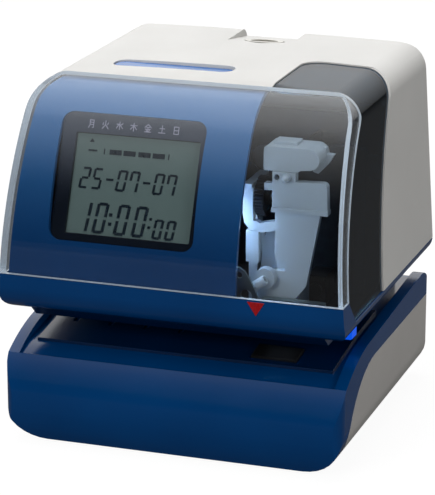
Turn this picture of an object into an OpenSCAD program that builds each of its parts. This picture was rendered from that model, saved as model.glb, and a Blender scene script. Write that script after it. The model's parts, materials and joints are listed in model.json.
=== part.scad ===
// Date and time stamp machine: base, card throat, head with display, lift-off cover and print unit.
// Millimetres. Z up, front faces -Y, Z = 0 is the underside of the rubber feet.

/* [Main sizes] */
// Width of the base and head
machine_w = 150; // [146:1:154]
// Height of the rubber feet
foot_h = 2; // [1.5:0.5:3]
// Diameter of the rubber feet
foot_d = 12; // [10:1:14]
// Wall thickness of the base and tray
wall = 2.5; // [2:0.1:2.8]

/* [Cover] */
// Thickness of the cover panels
skin = 2.4; // [2:0.1:2.6]
// Gap between moving covers and the body below
gap = 0.3; // [0.2:0.05:0.4]
// Length of the push bar in the top
bar_l = 54; // [50:1:58]
// Diameter of the lock rosette
lock_d = 18; // [16:1:19]

/* [Display] */
// Width of the display opening
lcd_w = 64; // [62:1:66]
// Height of the display opening
lcd_h = 54; // [52:1:55]

/* [Print unit] */
// Teeth of the ribbon gear
gear_teeth = 34; // [30:1:38]
// Outer diameter of the ribbon gear
gear_d = 17; // [16:0.5:17.5]
// Running clearance of pins in their bores, on the radius
run_clear = 0.08; // [0.05:0.01:0.1]

/* [Hidden] */
$fn = 48;

hw = machine_w / 2;
chassis_x = hw - 7;
table_x = hw - 9;
foot_x = hw - 26;
foot_y = 53;
jack_x = 29 - hw;
unit_dx = hw - 75;
blue = [0.02, 0.18, 0.38];
light = [0.86, 0.85, 0.83];
dark = [0.06, 0.07, 0.09];
grey = [0.55, 0.55, 0.54];
metal = [0.72, 0.72, 0.74];
milk = [0.85, 0.88, 0.92];

// ---- head outline: side view (y, z) and front view (x, z), both inset by d ----
seam_z = 76;
seam_y = -71.7;
rear_y = 71.6;
a1 = 2;
a2 = 33;
r1 = 125.5;
r2 = 36.8;
c1 = [seam_y + r1 * cos(a1), seam_z - r1 * sin(a1)];
c2 = [c1[0] - (r1 - r2) * cos(a2), c1[1] + (r1 - r2) * sin(a2)];
top_z = c2[1] + r2;
tau = 3.62;
side_k = hw + 0.2 + seam_z * tan(tau);
edge_r = 12.5;
crown = 1.2;
edge_z = top_z - crown;
cor_z = edge_z - edge_r;
cor_x = side_k - cor_z * tan(tau) - edge_r / cos(tau);
crown_r = (cor_x * cor_x + crown * crown) / (2 * crown);

function arc(c, r, a, b, n) =
  [for (i = [0 : n]) [c[0] + r * cos(a + (b - a) * i / n), c[1] + r * sin(a + (b - a) * i / n)]];
function side_pts(d, z0) = concat(
  [[seam_y + d, z0]],
  arc(c1, r1 - d, 180 - a1, 180 - a2, 14),
  arc(c2, r2 - d, 180 - a2, 90, 12),
  arc([rear_y - 6, top_z - 6], 6 - min(d, 5.5), 90, 0, 5),
  [[rear_y - d, z0]]);
function half_x(z, d) = side_k - z * tan(tau) - d / cos(tau);
function right_pts(d) = concat(
  arc([cor_x, cor_z], edge_r - d, tau, 87.6, 10),
  [for (i = [9 : -1 : -9]) [cor_x * i / 10,
    edge_z - d + crown - (crown_r - sqrt(crown_r * crown_r - pow(cor_x * i / 10, 2)))]]);
function front_pts(d, z0) = concat(
  [[half_x(z0, d), z0]],
  right_pts(d),
  arc([-cor_x, cor_z], edge_r - d, 92.4, 180 - tau, 10),
  [[-half_x(z0, d), z0]]);

module unit() {
  translate([unit_dx, 0, 0]) children();
}
module along_x(x0, x1) {
  translate([x0, 0, 0]) rotate([90, 0, 90]) linear_extrude(x1 - x0) children();
}
module along_y(y0, y1) {
  translate([0, y1, 0]) rotate([90, 0, 0]) linear_extrude(y1 - y0) children();
}
module head_solid(d, z0) {
  intersection() {
    along_x(-90, 90) polygon(side_pts(d, z0));
    along_y(-80, 80) polygon(front_pts(d, z0));
  }
}
module plate_at(x0, x1, y0, y1, z0, z1) {
  translate([x0, y0, z0]) cube([x1 - x0, y1 - y0, z1 - z0]);
}
function rr_pts(w, l, r) = concat(
  arc([w / 2 - r, l / 2 - r], r, 0, 90, 6), arc([r - w / 2, l / 2 - r], r, 90, 180, 6),
  arc([r - w / 2, r - l / 2], r, 180, 270, 6), arc([w / 2 - r, r - l / 2], r, 270, 360, 6));
module rr_block(x, y, z0, z1, w, l, r) {
  translate([x, y, z0]) linear_extrude(z1 - z0) polygon(rr_pts(w, l, r));
}

// ---- cover partings, side view (y, z) ----
rim_c = [-63 + 105 * cos(2), 76 - 105 * sin(2)];
rim_pts = concat(arc(rim_c, 105, 178, 135, 12), [[-27.4, 170]]);
back_c = [-12 + 164 * cos(2), 66 - 164 * sin(2)];
back_pts = arc(back_c, 164, 178, 143, 12);
window_x = 31.5;
top_back_y = 18;
module front_zone() {
  along_x(-90, 90) polygon(concat([[-100, 76 + gap], [-63, 76 + gap]], rim_pts, [[-100, 170]]));
}
module window_zone() {
  intersection() {
    along_x(window_x, 90) polygon(concat([[-63, 76], [-54, 65.5 + gap], [-12, 65.5 + gap]],
      back_pts, [[top_back_y + 2, 170], [-27.4, 170]],
      [for (i = [len(rim_pts) - 2 : -1 : 0]) rim_pts[i]]));
    union() {
      translate([window_x, -90, 60]) linear_extrude(110) polygon(concat(
        [[0, 0], [60, 0], [60, 90 + top_back_y + 30]],
        [[60, 90 + top_back_y]], arc([9, 90 + top_back_y - 9], 9, 90, 180, 6)));
    }
  }
}
module cover_shell() {
  difference() {
    union() {
      difference() {
        head_solid(0, 60);
        head_solid(skin, 50);
      }
      intersection() {
        head_solid(0, 60);
        plate_at(-17, 20, 38, rear_y, top_z - 8.5, top_z + 2);
      }
    }
    // everything below the tray line
    along_x(-90, 90) polygon([[-100, 76 + gap], [-63, 76 + gap], [-54, 65.5 + gap],
      [100, 65.5 + gap], [100, 40], [-100, 40]]);
  }
}

// ---- lock: shallow ramp to the rear with a rosette ----
lock_x = 2;
lock_y = 50.5;
ramp = 8;
lock_z = top_z - (lock_y - 43) * tan(ramp);
module lock_place() {
  translate([lock_x, lock_y, lock_z]) rotate([-ramp, 0, 0]) children();
}
bar_x = -18.5;
bar_y = -11;
bar_w = 12;
guide_d = 2.8;
module top_cover() {
  color(light) difference() {
    cover_shell();
    front_zone();
    window_zone();
    rr_block(bar_x, bar_y, 140, 170, bar_l, bar_w, 5);
    along_x(-13, 16) polygon([[43, top_z], [80, top_z - 37 * tan(ramp)], [80, 180], [43, 180]]);
    lock_place() translate([0, 0, -12]) cylinder(d = lock_d, h = 20);
  }
}
module clear_cover() {
  color([0.85, 0.9, 0.95, 0.35]) intersection() {
    cover_shell();
    front_zone();
  }
}
module side_window() {
  color([0.15, 0.18, 0.2, 0.5]) intersection() {
    difference() {
      head_solid(0, 60);
      head_solid(skin, 50);
    }
    window_zone();
  }
}
module lock_ring() {
  color(metal) lock_place() difference() {
    union() {
      translate([0, 0, -12]) cylinder(d = lock_d - 0.04, h = 11.6);
      translate([0, 0, -0.4]) cylinder(d = lock_d - 1, h = 0.6);
    }
    translate([0, 0, -13]) cylinder(d = lock_barrel_d + 2 * run_clear, h = 20);
  }
}
lock_barrel_d = 12;
module lock_barrel() {
  color(grey) lock_place() difference() {
    union() {
      translate([0, 0, -14]) cylinder(d = lock_barrel_d, h = 13.4);
      translate([0, 0, -19]) cylinder(d = 5, h = 6);
    }
    translate([-0.9, -3.6, -9]) cube([1.8, 7.2, 12]);
    translate([0, 0, -9]) cylinder(d = 3.4, h = 12);
  }
}
module lock_cam() {
  color(metal) lock_place() translate([0, 0, -17.5]) difference() {
    union() {
      cylinder(d = 11, h = 1.6);
      translate([-4, 0, 0]) cube([8, 17, 1.6]);
    }
    translate([0, 0, -1]) cylinder(d = 5, h = 4);
  }
}
module push_bar() {
  color(blue) union() {
    rr_block(bar_x, bar_y, top_z - 5.4, top_z - 1.2, bar_l - 0.8, bar_w - 0.8, 4.6);
    rr_block(bar_x, bar_y, top_z - 5.6, top_z - 3.8, bar_l + 5, bar_w + 4, 4);
    for (s = [-1, 1]) translate([bar_x + s * 16, bar_y, top_z - 13]) cylinder(d = guide_d, h = 8);
  }
}
module bar_carrier() {
  color(dark) difference() {
    union() {
      plate_at(bar_x - 36, bar_x + 36, bar_y - 10, bar_y + 10, top_z - 11, top_z - 9.4);
      for (s = [-1, 1]) intersection() {
        translate([bar_x + s * 33.5 - 2.5, bar_y - 8, top_z - 11]) cube([5, 16, 12]);
        head_solid(skin, 50);
      }
    }
    for (s = [-1, 1]) translate([bar_x + s * 16, bar_y, top_z - 12])
      cylinder(d = guide_d + 2 * run_clear, h = 4);
  }
}

// ---- base ----
base_rear = 71.7;
nose_c = [-38.5, 19];
nose_r = 32.8;
top_s = 2.7;
cheek_r = 81.7;
cheek_c = [-64.5 + cheek_r * sin(28), 39 - cheek_r * cos(28)];
deck_z = cheek_c[1] + cheek_r * cos(top_s);
deck_y = cheek_c[0] - cheek_r * sin(top_s);
rear_r = 15;
rear_cz = deck_z + (base_rear - rear_r - deck_y) * tan(top_s) - rear_r;
zb = foot_h;
function base_pts(d) = concat(
  arc(nose_c, nose_r - d, 180 + asin((19 - zb - d) / (nose_r - d)), 180 - 37.6, 14),
  d > 0 ? [] : arc(cheek_c, cheek_r, 90 + 27, 90 + top_s, 10),
  d > 0 ? [[-60, 36], [-53, 38.6], [-20, 43], [14, 44.6], [58, 44.6]] : [],
  arc([base_rear - rear_r, rear_cz], rear_r - d, d > 0 ? 25 : 90 + top_s, 0, 9),
  arc([base_rear - 10, zb + 10], 10 - d, 0, -90, 6));
function base_sec(d) = concat(
  arc([hw - 18, zb + 18], 18 - d, -90, 0, 8), [[hw - d, 60], [d - hw, 60]],
  arc([18 - hw, zb + 18], 18 - d, 180, 270, 8));
module base_solid(d) {
  intersection() {
    along_x(-hw - 1, hw + 1) polygon(base_pts(d));
    along_y(-90, 90) polygon(base_sec(d));
    rr_block(0, 0, -1, 70, 2 * hw - 2 * d, 2 * 71.7 - 2 * d, 6.5 - d);
  }
}
module grey_zone() {
  along_x(-90, 90) polygon(concat(
    [[90, -5], [90, 40.5], [-20, 40.5]],
    [for (i = [1 : 9]) [-20 - 45 * sin(i * 62 / 9), 40.5 - 45 * (1 - cos(i * 62 / 9))]],
    [[-64.6, -5]]));
}
module pocket() {
  along_x(5 - hw, hw - 5) polygon([[-90, 39.01], [-64.4, 39.01], [-62.5, 38.4], [-55.5, 41.4], [-20, 46],
    [14, 47.5], [90, 47.5], [90, 80], [-90, 80]]);
}
module base_front() {
  color(blue) difference() {
    base_solid(0);
    base_solid(wall);
    grey_zone();
    pocket();
  }
}
module base_shell() {
  color(grey) difference() {
    intersection() {
      difference() {
        base_solid(0);
        base_solid(wall);
      }
      grey_zone();
    }
    plate_at(-40, 40, -44, 44, -5, zb + wall + 1);
    translate([jack_x, base_rear + 1, zb + 18]) rotate([90, 0, 0]) cylinder(d = 11, h = 8);
  }
}
module base_plate() {
  color(metal) difference() {
    plate_at(-44, 44, -48, 48, zb + wall, zb + wall + 1.5);
    for (x = [-32, 32], y = [-36, 36]) translate([x, y, -1]) cylinder(d = 3.4, h = 20);
    for (i = [-3 : 3]) translate([i * 8 - 1.5, -12, -1]) cube([3, 24, 20]);
  }
}
module rubber_feet() {
  color(dark) for (x = [-foot_x, foot_x], y = [-foot_y, foot_y]) translate([x, y, 0]) difference() {
    rotate_extrude() polygon([[0, 0], [foot_d / 2 - 0.8, 0], [foot_d / 2, 0.8],
      [foot_d / 2, foot_h], [0, foot_h]]);
    translate([0, 0, -1]) cylinder(d = 3.6, h = 1.8);
  }
}
module base_screws() {
  color(metal) for (x = [-32, 32], y = [-36, 36]) translate([x, y, zb + wall]) difference() {
    union() {
      translate([0, 0, -1.6]) cylinder(d = 5.6, h = 1.6);
      cylinder(d = 3, h = 9);
    }
    translate([-2.2, -0.4, -2]) cube([4.4, 0.8, 1]);
    translate([-0.4, -2.2, -2]) cube([0.8, 4.4, 1]);
  }
}
platen_x = hw - 36;
module paper_table() {
  color([0.01, 0.08, 0.2]) difference() {
    along_x(-table_x, table_x) polygon([[-54, 41.6], [-20, 46], [12, 47.41], [12, 48.6], [-20, 47.2],
      [-53.6, 42.85]]);
    plate_at(platen_x - 10.2, platen_x + 10.2, -50.2, -37.8, 30, 60);
    for (i = [-3 : 0]) rr_block(i * 16 - 8, -18, 30, 60, 2.4, 34, 1);
  }
}
module platen() {
  color(dark) along_x(platen_x - 10, platen_x + 10) polygon([[-50, 42.12], [-38, 43.67],
    [-38, 45.4], [-38.6, 45.8], [-49.6, 44.4], [-50, 43.9]]);
}
module neck() {
  color([0.05, 0.1, 0.18]) difference() {
    rr_block(0, 41, 47.5, 59.5, machine_w - 26, 50, 8);
    rr_block(0, 41, 40, 70, machine_w - 33, 43, 5);
  }
}
module dc_jack() {
  color(dark) translate([jack_x, base_rear, zb + 18]) rotate([90, 0, 0]) {
    difference() {
      union() {
        translate([0, 0, 0.2]) cylinder(d = 10.9, h = 6);
        translate([-7, -7, wall]) cube([14, 14, 10]);
      }
      translate([0, 0, -1]) cylinder(d = 6.3, h = 10);
    }
    translate([0, 0, 2]) cylinder(d = 2.1, h = 8);
  }
}

// ---- tray of the head ----
tray_z = 59.5;
deck_top = tray_z + wall + 1.5;
function tray_pts(d) = concat(
  [[seam_y + d, 90]],
  arc([seam_y + 11, tray_z + 11], 11 - d, 180, 270, 9),
  arc([rear_y - 6.5, tray_z + 6.5], 6.5 - min(d, 6), 270, 360, 6),
  [[rear_y - d, 90]]);
function tray_sec(d) = concat(
  [[half_x(90, d), 90], [-half_x(90, d), 90]],
  [[-half_x(66, d), 66]],
  arc([-half_x(66, 6) , tray_z + 6], 6 - d, 180 + tau, 270, 6),
  arc([half_x(66, 6), tray_z + 6], 6 - d, 270, 360 - tau, 6),
  [[half_x(66, d), 66]]);
head_hole = [platen_x, -41];
module tray_solid(d) {
  intersection() {
    along_x(-90, 90) polygon(tray_pts(d));
    along_y(-90, 90) polygon(tray_sec(d));
  }
}
module tray_line() {
  along_x(-90, 90) polygon([[-100, 76], [-63, 76], [-54, 65.5], [100, 65.5], [100, 20], [-100, 20]]);
}
module head_tray() {
  color(blue) difference() {
    intersection() {
      tray_solid(0);
      tray_line();
    }
    tray_solid(wall);
    rr_block(head_hole[0], head_hole[1], 50, 70, 18, 22, 2);
    plate_at(17.5, 22.5, -9, 10, 50, 70);
  }
}
module throat_guide() {
  color([0.01, 0.06, 0.15]) difference() {
    along_x(10 - hw, hw - 10) polygon([[-62.5, tray_z], [-57.5, 55], [-20, 54.6], [14, 55.6], [14, tray_z]]);
    rr_block(head_hole[0], head_hole[1], 50, 70, 18, 22, 2);
    plate_at(17.5, 22.5, -9, 10, 50, 70);
  }
}
module throat_lamp() {
  color([0.1, 0.4, 1]) union() {
    plate_at(hw - 9, hw - 4, -50, -36, 53.6, tray_z);
    plate_at(hw - 9, hw - 5, -48, -38, 52.6, 54);
  }
}
module chassis() {
  color(metal) difference() {
    plate_at(-chassis_x, chassis_x, -56, 66, tray_z + wall, deck_top);
    rr_block(head_hole[0], head_hole[1], 50, 70, 18, 22, 2);
    plate_at(17.5, 22.5, -9, 10, 50, 70);
  }
}
module chassis_walls() {
  color(metal) difference() {
    union() {
      plate_at(-chassis_x, 1.5 - chassis_x, -20, 58 - gap, deck_top, 120);
      plate_at(-chassis_x, chassis_x, 58, 59.5, deck_top, 128);
      plate_at(26, 27.5, 0, 58 - gap, deck_top, 116);
    }
    for (y = [-5 : 18 : 50]) translate([-chassis_x - 2, y, 95]) rotate([0, 90, 0]) cylinder(d = 10, h = 6);
    for (x = [-50 : 25 : 50]) translate([x, 62, 100]) rotate([90, 0, 0]) cylinder(d = 12, h = 6);
  }
}
module chassis_screws() {
  color(metal) for (x = [8 - chassis_x, chassis_x - 8], y = [0, 50]) translate([x, y, deck_top]) difference() {
    cylinder(d = 6, h = 2);
    translate([-2.4, -0.4, 1]) cube([4.8, 0.8, 2]);
    translate([-0.4, -2.4, 1]) cube([0.8, 4.8, 2]);
  }
}

// ---- display ----
lcd_lean = 21.5;
lcd_x = -22.5;
panel_d = skin + 0.9;
panel_edge = 31;
screen_w = lcd_w - 9;
screen_h = lcd_h - 12;
// the display stands on the chord of the panel's arc
panel_r = r1 - panel_d;
lcd_up = 1.94;
lcd_sag = pow(lcd_h / 2 + lcd_up, 2) / (2 * panel_r) - 0.457;
lcd_org = [lcd_x,
  c1[0] - (panel_r - lcd_sag) * cos(lcd_lean) - (lcd_h / 2 - lcd_up) * sin(lcd_lean),
  c1[1] + (panel_r - lcd_sag) * sin(lcd_lean) - (lcd_h / 2 - lcd_up) * cos(lcd_lean)];
module lcd_place() {
  translate(lcd_org) rotate([-lcd_lean, 0, 0]) children();
}
module front_panel() {
  color(blue) difference() {
    intersection() {
      difference() {
        head_solid(panel_d, 60);
        head_solid(panel_d + 2, 50);
      }
      plate_at(-90, panel_edge, -90, -24, seam_z - 6, 170);
    }
    lcd_place() translate([0, 20, lcd_h / 2]) rotate([90, 0, 0])
      linear_extrude(40) polygon(rr_pts(lcd_w, lcd_h, 5));
    tray_outer_clear();
  }
}
module tray_outer_clear() {
  difference() {
    plate_at(-90, 90, -90, 90, 60, 76);
    tray_solid(wall + 0.01);
  }
}
module lcd_bezel() {
  color([0.1, 0.13, 0.17]) lcd_place() translate([0, 0, lcd_h / 2]) difference() {
    union() {
      translate([0, 5.2, 0]) rotate([90, 0, 0]) linear_extrude(4.6)
        polygon(rr_pts(lcd_w - 0.3, lcd_h - 0.3, 4.8));
      translate([0, 7.2, 0]) rotate([90, 0, 0]) linear_extrude(2)
        polygon(rr_pts(lcd_w + 3, lcd_h + 3, 5));
    }
    translate([2, 9, -2.5]) rotate([90, 0, 0]) linear_extrude(12)
      polygon(rr_pts(screen_w, screen_h, 0.8));
  }
}
module lcd_module() {
  color([0.36, 0.42, 0.4]) lcd_place() translate([2, 0, lcd_h / 2 - 2.5]) union() {
    translate([0.1 - screen_w / 2, 2.2, 0.1 - screen_h / 2]) cube([screen_w - 0.2, 6, screen_h - 0.2]);
    translate([-screen_w / 2 - 2.5, 7.2, -screen_h / 2 - 2.5]) cube([screen_w + 5, 3, screen_h + 5]);
  }
}
seg_t = 0.2;
module seg_bar(l, w) {
  translate([-l / 2, 0, -w / 2]) cube([l, seg_t, w]);
}
// seven bar figure, height h, width w, leaning to the right
module figure7(n, h, w, t) {
  on = [[1,1,1,0,1,1,1], [0,0,1,0,0,1,0], [1,0,1,1,1,0,1], [1,0,1,1,0,1,1], [0,1,1,1,0,1,0],
    [1,1,0,1,0,1,1], [1,1,0,1,1,1,1], [1,1,1,0,0,1,0], [1,1,1,1,1,1,1], [1,1,1,1,0,1,1]];
  k = tan(7);
  m = on[n];
  if (m[0] == 1) translate([k * h, 0, h - t / 2]) seg_bar(w - t * 1.3, t);
  if (m[1] == 1) translate([k * h * 0.75 - w / 2 + t / 2, 0, h * 0.75]) seg_up(h / 2 - t * 0.9, t);
  if (m[2] == 1) translate([k * h * 0.75 + w / 2 - t / 2, 0, h * 0.75]) seg_up(h / 2 - t * 0.9, t);
  if (m[3] == 1) translate([k * h * 0.5, 0, h / 2]) seg_bar(w - t * 1.6, t);
  if (m[4] == 1) translate([k * h * 0.25 - w / 2 + t / 2, 0, h * 0.25]) seg_up(h / 2 - t * 0.9, t);
  if (m[5] == 1) translate([k * h * 0.25 + w / 2 - t / 2, 0, h * 0.25]) seg_up(h / 2 - t * 0.9, t);
  if (m[6] == 1) translate([0, 0, t / 2]) seg_bar(w - t * 1.3, t);
}
module seg_up(l, t) {
  k = tan(7);
  translate([0, seg_t, 0]) rotate([90, 0, 0]) linear_extrude(seg_t)
    polygon([[-t / 2 - k * l / 2, -l / 2], [t / 2 - k * l / 2, -l / 2],
      [t / 2 + k * l / 2, l / 2], [-t / 2 + k * l / 2, l / 2]]);
}
module seg_row(list, x0, z0, h, w, t, p) {
  for (i = [0 : len(list) - 1]) translate([x0 + i * p, 0, z0]) {
    if (list[i] >= 0) figure7(list[i], h, w, t);
    if (list[i] == -1) translate([0.7, 0, h / 2]) seg_bar(w * 0.75, t);
  }
}
kx = screen_w / 55;
kz = screen_h / 42;
module lcd_segments() {
  color([0.08, 0.12, 0.16]) lcd_place() translate([2, 2.2 - seg_t, lcd_h / 2 - 2.5]) union() {
    seg_row([2, 5, -1, 0, 7, -1, 0, 7], -22.3 * kx, -2.1 * kz, 9 * kz, 4.2 * kx, 0.95, 5.45 * kx);
    seg_row([1, 0], -20.9 * kx, -20.3 * kz, 13 * kz, 5.2 * kx, 1.25, 7.35 * kx);
    seg_row([0, 0], -4 * kx, -20.3 * kz, 13 * kz, 5.2 * kx, 1.25, 7.9 * kx);
    for (z = [-15.9, -12.1]) translate([-8.4 * kx, 0, z * kz]) seg_bar(1.4, 1.4);
    seg_row([0, 0], 12.4 * kx, -20.4 * kz, 8.4 * kz, 4 * kx, 1.05, 5.5 * kx);
    for (z = [-15.7, -12.3]) translate([(10.8 + z * 0.12) * kx, 0, z * kz]) seg_bar(1.1, 1.1);
    translate([-20.5 * kx, 0, 18.2 * kz]) rotate([90, 0, 0]) mirror([0, 0, 1]) linear_extrude(seg_t)
      polygon([[-1.1, -0.7], [1.1, -0.7], [0, 0.8]]);
    translate([-19.8 * kx, 0, 14 * kz]) seg_bar(3.8, 0.7);
    for (x = [-14.6, 13.9]) translate([x * kx, 0, 13.9 * kz]) seg_bar(0.4, 2.4);
    for (x = [-9.6, -3.4, 3.2, 9.5]) translate([x * kx, 0, 13.9 * kz]) seg_bar(5.3 * kx, 2.1);
  }
}
module main_board() {
  color([0.05, 0.25, 0.12]) lcd_place() translate([0, 0, lcd_h / 2]) union() {
    translate([-36, 14, -27]) cube([72, 1.6, 50]);
    for (x = [-24, 0, 20]) translate([x - 5, 15.6, -6]) cube([10, 2.4, 10]);
    translate([-20, 15.6, 12]) cube([40, 4, 5]);
  }
}
module board_posts() {
  color(metal) lcd_place() translate([0, 0, lcd_h / 2])
    for (x = [-29, 33 - 2], z = [-24.6, 19.8]) translate([x, 10.2, z]) rotate([-90, 0, 0])
      cylinder(d = 2.6, h = 3.8);
}
module pointer_marker() {
  color([0.65, 0.05, 0.06]) translate([0, seam_y - 0.35, 0]) rotate([-90, 0, 0]) mirror([0, 1, 0])
    linear_extrude(0.35) polygon([[34.5, 75.4], [42, 75.4], [38.3, 69.6]]);
}

// ---- print unit: thin front plates on a box that guides the print head ----
unit_y = -50;
module print_frame() {
  color(milk) unit() difference() {
    union() {
      along_y(unit_y, unit_y + 3) polygon([[39.6, 109], [39.6, 87.6], [44, 87.6], [44, 83], [36.3, 82.4],
        [36.1, 72], [38.5, 63.5], [47.5, 63.5], [48.8, 71.6], [53.1, 77.1], [59.1, 109]]);
      along_y(unit_y - 1.5, unit_y + 2.5) polygon(concat([[38.7, 110], [62.3, 110.2]],
        arc([60, 119.9], 2, 5, 92, 5), [[48.6, 121.5], [48.6, 125.2], [38.7, 125.2]]));
      along_y(unit_y - 2.2, unit_y + 2.5) polygon([[38.5, 108.3], [62.6, 108.5], [62.6, 110.4],
        [38.5, 110.2]]);
      plate_at(39.6, 49.5, unit_y + 3, unit_y + 16.6, 63.5, 109);
      along_y(unit_y - 3.5, unit_y + 0.5) polygon(arc([36.2, 79.8], 4.4, 0, 345, 22));
    }
    plate_at(41, 48, unit_y + 4, unit_y + 16, 60, 104.5);
    translate([40.6, unit_y + 5, 123]) rotate([90, 0, 0]) cylinder(d = 2.4, h = 10);
    translate([45.2, unit_y + 5, 123.3]) rotate([90, 0, 0]) cylinder(d = 3.3, h = 10);
  }
}
module print_head() {
  color(dark) unit() difference() {
    union() {
      plate_at(41.3, 47.7, -45.7, -34.3, 72, 102);
      plate_at(42, 47, -44.5, -36, 56.3, 73);
    }
    for (i = [0 : 5]) plate_at(40, 49, -44.6 + i * 1.8, -43.8 + i * 1.8, 80, 98);
    plate_at(43, 46, -41, -39, 50, 60);
  }
}
module ribbon_cassette() {
  color(milk) unit() union() {
    along_y(unit_y - 0.5, unit_y + 14) polygon(concat([[34.7, 125.3], [49, 125.3], [50.5, 126.2]],
      arc([54, 131], 4.4, -80, 90, 8), [[36.2, 135.4]], arc([36.2, 133.9], 1.5, 90, 180, 4)));
    along_y(unit_y + 9, unit_y + 12) polygon([[52.8, 123.6], [55.2, 123], [59.6, 127.6], [61.8, 131.4],
      [58.2, 131.6], [58.4, 134.3], [54, 134.3]]);
    plate_at(37.5, 47.5, unit_y + 4, unit_y + 12, 135.2, 136.6);
  }
}
module latch_pin() {
  color(light) unit() translate([45.2, unit_y + 2.4, 123.3]) rotate([90, 0, 0]) {
    cylinder(d = 3.2, h = 6.6);
    translate([0, 0, 6.6]) sphere(d = 3.2);
  }
}
gear_c = [-42, 112];
gear_x = 30.2;
gear_w = 3.8;
tooth_h = 1;
function frac(v) = v - floor(v);
module teeth_blank(n, d, w, depth) {
  linear_extrude(w) polygon([for (i = [0 : n - 1], j = [0 : 3])
    let (a = 360 * (i + [0.04, 0.25, 0.47, 0.68][j]) / n, r = d / 2 - [depth, 0, 0, depth][j])
    [r * cos(a), r * sin(a)]]);
}
module ribbon_gear() {
  color(dark) unit() translate([gear_x, gear_c[0], gear_c[1]]) rotate([0, 90, 0]) difference() {
    union() {
      rotate([0, 0, (frac(gear_teeth / 4) - 0.36) * 360 / gear_teeth])
        teeth_blank(gear_teeth, gear_d, gear_w, tooth_h);
      translate([0, 0, gear_w]) cylinder(d = 7, h = 1.4);
    }
    translate([0, 0, -1]) cylinder(d = 3 + 2 * run_clear, h = 10);
    translate([0, 0, gear_w - 0.8]) difference() {
      cylinder(d = gear_d - 4.4, h = 2);
      translate([0, 0, -1]) cylinder(d = 7, h = 4);
    }
  }
}
drive_teeth = 24;
drive_d = gear_d * drive_teeth / gear_teeth;
drive_c = [gear_c[0] + (gear_d + drive_d) / 2 - tooth_h + 0.2, gear_c[1]];
module drive_gear() {
  color(dark) unit() translate([gear_x + 0.4, drive_c[0], drive_c[1]]) rotate([0, 90, 0]) difference() {
    rotate([0, 0, (frac(drive_teeth * 0.75) - 0.86) * 360 / drive_teeth])
      teeth_blank(drive_teeth, drive_d, gear_w - 0.8, tooth_h);
    translate([0, 0, -1]) cylinder(d = 3 + 2 * run_clear, h = 10);
    for (a = [0 : 90 : 270]) rotate([0, 0, a]) translate([3.4, 0, -1]) cylinder(d = 1.8, h = 10);
  }
}
module gear_shaft() {
  color(metal) unit() for (c = [gear_c, drive_c]) translate([25, c[0], c[1]]) rotate([0, 90, 0])
    cylinder(d = 3, h = 11.5);
}
module gear_yoke() {
  color(milk) unit() difference() {
    union() {
      // hook round the gear
      along_y(-49, -45.4) difference() {
        polygon([[38.7, 119.6], [33.4, 119.4], [29.8, 117], [27.2, 115], [25.9, 112], [25.2, 106],
          [25.9, 101.8], [28.3, 98.9], [33, 98.1], [39.6, 99.4], [39.6, 103.6], [38.7, 104]]);
        polygon([[40, 116.6], [32.6, 116.4], [30.6, 115.2], [29.6, 112.6], [29.6, 106], [30.7, 103.2],
          [32.6, 101.9], [35, 102.6], [40, 103.7]]);
      }
      plate_at(26.6, 32, -48.6, -45.6, 85, 98.4);
      plate_at(25, 28.8, -48, -25, 106, 118);
      plate_at(25, 28.8, -40, -33, 63.5, 106.5);
      // blade beside the frame
      along_y(-44.6, -42.8) polygon([[39.4, 98], [30.4, 98], [31.2, 92], [32.2, 87.6], [31.8, 82.4],
        [30.2, 79.4], [30.2, 63.5], [39.4, 63.5]]);
      plate_at(30.4, 34, -46, -42.8, 96, 99);
      plate_at(27, 31, -43.4, -38, 63.5, 72);
    }
    plate_at(gear_x - 0.5, gear_x + gear_w + 0.5, -60, -20, 102.9, 121);
    for (c = [gear_c, drive_c]) translate([20, c[0], c[1]]) rotate([0, 90, 0])
      cylinder(d = 3, h = 20);
  }
}
module guide_post() {
  color(metal) unit() translate([30.2, unit_y - 5.7, 75.3]) rotate([0, 56, 0]) difference() {
    cylinder(d = 4.2, h = 8.8);
    translate([0, 0, 6.8]) cylinder(d = 2, h = 4);
  }
}
module hole_bracket() {
  color([0.45, 0.52, 0.52]) unit() difference() {
    along_y(-60.4, -59.2) polygon([[22.5, 62], [36.6, 62], [35.4, 74], [34, 77.6], [32.3, 80.8],
      [29.8, 84.6], [26.6, 86.2], [22.5, 86.6]]);
    translate([30.6, -55, 74.2]) rotate([90, 0, 0]) cylinder(d = 5, h = 10);
    translate([27.6, -55, 82.6]) rotate([90, 0, 0]) cylinder(d = 2.6, h = 10);
  }
}
module front_rail() {
  color([0.6, 0.62, 0.62]) unit() union() {
    rr_block(50.7, -58.8, 72.2, 73.8, 27, 3.6, 1.6);
    plate_at(37.4, 64, -58.2, -57, 62, 72.4);
  }
}
module ribbon_motor() {
  color(dark) unit() union() {
    plate_at(47.5, 56, -31, -18, 63.5, 76);
    translate([51.8, -31, 70]) rotate([90, 0, 0]) cylinder(d = 6, h = 1.6);
  }
}
module rear_board() {
  color([0.03, 0.05, 0.07]) union() {
    plate_at(30, hw - 9, -14, -12.4, 63.5, 128);
    plate_at(hw - 19, hw - 13, -16.2, -14, 84, 94);
    plate_at(hw - 19, hw - 14, -16, -14, 72, 79);
    plate_at(34, 44, -17, -14, 100, 112);
  }
}
trig_c = [-4, 68];
module trigger_bracket() {
  color(metal) difference() {
    for (x = [14.6, 23.4]) plate_at(x, x + 2, trig_c[0] - 4, trig_c[0] + 4, deck_top, 72);
    translate([10, trig_c[0], trig_c[1]]) rotate([0, 90, 0]) cylinder(d = 2.4, h = 20);
  }
}
module trigger_pin() {
  color(metal) translate([13.6, trig_c[0], trig_c[1]]) rotate([0, 90, 0]) cylinder(d = 2.4, h = 12.8);
}
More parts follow.
